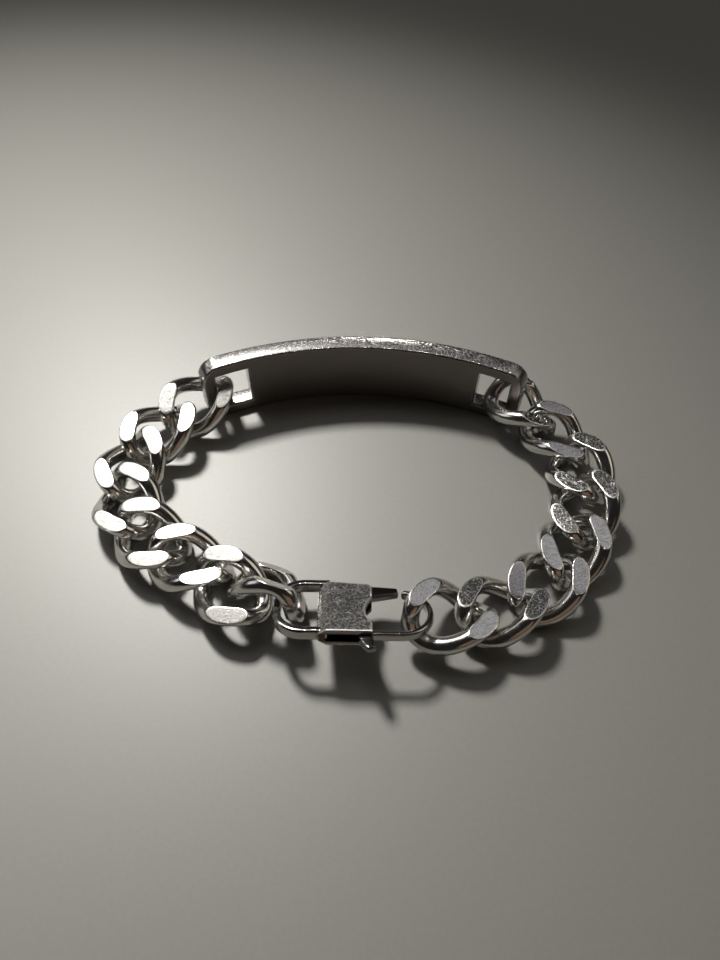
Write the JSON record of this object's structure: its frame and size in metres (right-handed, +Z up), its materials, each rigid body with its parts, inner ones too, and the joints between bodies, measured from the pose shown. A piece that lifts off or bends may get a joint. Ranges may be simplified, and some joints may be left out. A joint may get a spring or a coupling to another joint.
{
  "type": "chain bracelet",
  "caption": "Curb chain bracelet in polished steel with a curved plain name plate and a flat clasp, fastened and lying on a table.",
  "frame": {"origin": "on the table, under the middle of the bracelet's bounding box", "axes": "+X to the right as worn face up with the clasp in front, +Y towards the name plate at the back, +Z up from the table"},
  "size_m": [0.0862, 0.0583, 0.012],
  "materials": {
    "plate_steel": "polished stainless steel with fine wear scratches",
    "link_steel": "polished stainless steel wire with ground flats",
    "clasp_steel": "scratched stainless steel",
    "lever_steel": "scratched stainless steel"
  },
  "bodies": {
    "bracelet": {"name_plate": "plate_steel", "link_left_1": "link_steel", "link_left_2": "link_steel", "link_left_3": "link_steel", "link_left_4": "link_steel", "link_left_5": "link_steel", "link_left_6": "link_steel", "link_left_7": "link_steel", "link_left_8": "link_steel", "link_right_1": "link_steel", "link_right_2": "link_steel", "link_right_3": "link_steel", "link_right_4": "link_steel", "link_right_5": "link_steel", "link_right_6": "link_steel", "link_right_7": "link_steel", "link_right_8": "link_steel", "clasp_body": "clasp_steel"},
    "lever": {"clasp_lever": "lever_steel"}
  },
  "joints": [
    {"name": "lever_turn", "type": "hinge", "parent": "bracelet", "child": "lever", "pos_m": [0.0002, -0.01869, 0.0046], "axis": [0, 0.3584, 0.9336], "range_deg": [-28, 0], "stiffness_Nm_per_rad": 0.002}
  ]
}
